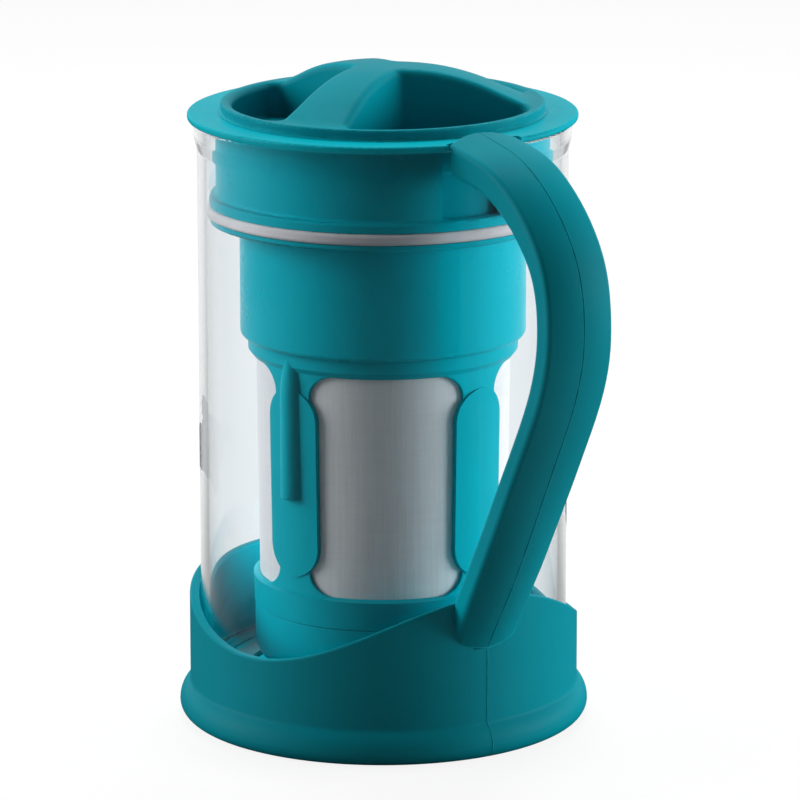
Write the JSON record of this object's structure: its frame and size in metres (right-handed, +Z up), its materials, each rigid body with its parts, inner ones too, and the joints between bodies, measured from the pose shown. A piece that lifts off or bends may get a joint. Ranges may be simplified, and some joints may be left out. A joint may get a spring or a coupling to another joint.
{
  "type": "cold brew coffee maker",
  "caption": "Cold brew coffee maker: glass jug in a plastic base with a hooked handle, a lift-out brew core with a fine steel mesh filter, and a twist lid with finger pockets.",
  "frame": {"origin": "on the jug's axis, in the plane of the table under the foot pad", "axes": "+Z up along the jug's axis, +X towards the handle, -X towards the pouring side"},
  "size_m": [0.1762, 0.1276, 0.205],
  "materials": {
    "teal_plastic": "moulded teal plastic, softly glossy",
    "clear_glass": "clear pressed glass, fire-polished rim",
    "mesh_steel": "fine woven stainless steel mesh",
    "silicone": "translucent grey silicone",
    "foot_rubber": "dark non-slip rubber, matt",
    "screw_steel": "plain steel screws"
  },
  "bodies": {
    "base": {"base_shell": "teal_plastic", "base_cover": "teal_plastic", "foot_pad": "foot_rubber", "glass_cushion": "silicone", "glass_carafe": "clear_glass", "handle_near": "teal_plastic", "handle_far": "teal_plastic", "handle_screws": "screw_steel"},
    "cap": {"bottom_cap": "teal_plastic", "cap_seal": "silicone"},
    "cage": {"filter_cage": "teal_plastic", "filter_mesh": "mesh_steel", "mesh_hem_low": "mesh_steel", "mesh_hem_top": "mesh_steel", "cage_seal": "silicone"},
    "collar": {"collar": "teal_plastic", "core_skirt": "teal_plastic", "collar_gasket": "silicone"},
    "lid_ring": {"lid_seal": "silicone"},
    "lid": {"lid_grip": "teal_plastic", "lid_plug": "teal_plastic"}
  },
  "joints": [
    {"name": "core_lift", "type": "slide", "parent": "base", "child": "cap", "axis": [0, 0, 1], "range_m": [0, 0.2]},
    {"name": "cage_lift", "type": "slide", "parent": "cap", "child": "cage", "axis": [0, 0, 1], "range_m": [0, 0.06]},
    {"name": "collar_lift", "type": "slide", "parent": "cage", "child": "collar", "axis": [0, 0, 1], "range_m": [0, 0.06]},
    {"name": "lid_lift", "type": "slide", "parent": "collar", "child": "lid_ring", "axis": [0, 0, 1], "range_m": [0, 0.08]},
    {"name": "lid_turn", "type": "hinge", "parent": "lid_ring", "child": "lid", "pos_m": [0, 0, 0.1914], "axis": [0, 0, 1], "range_deg": [0, 90]}
  ]
}
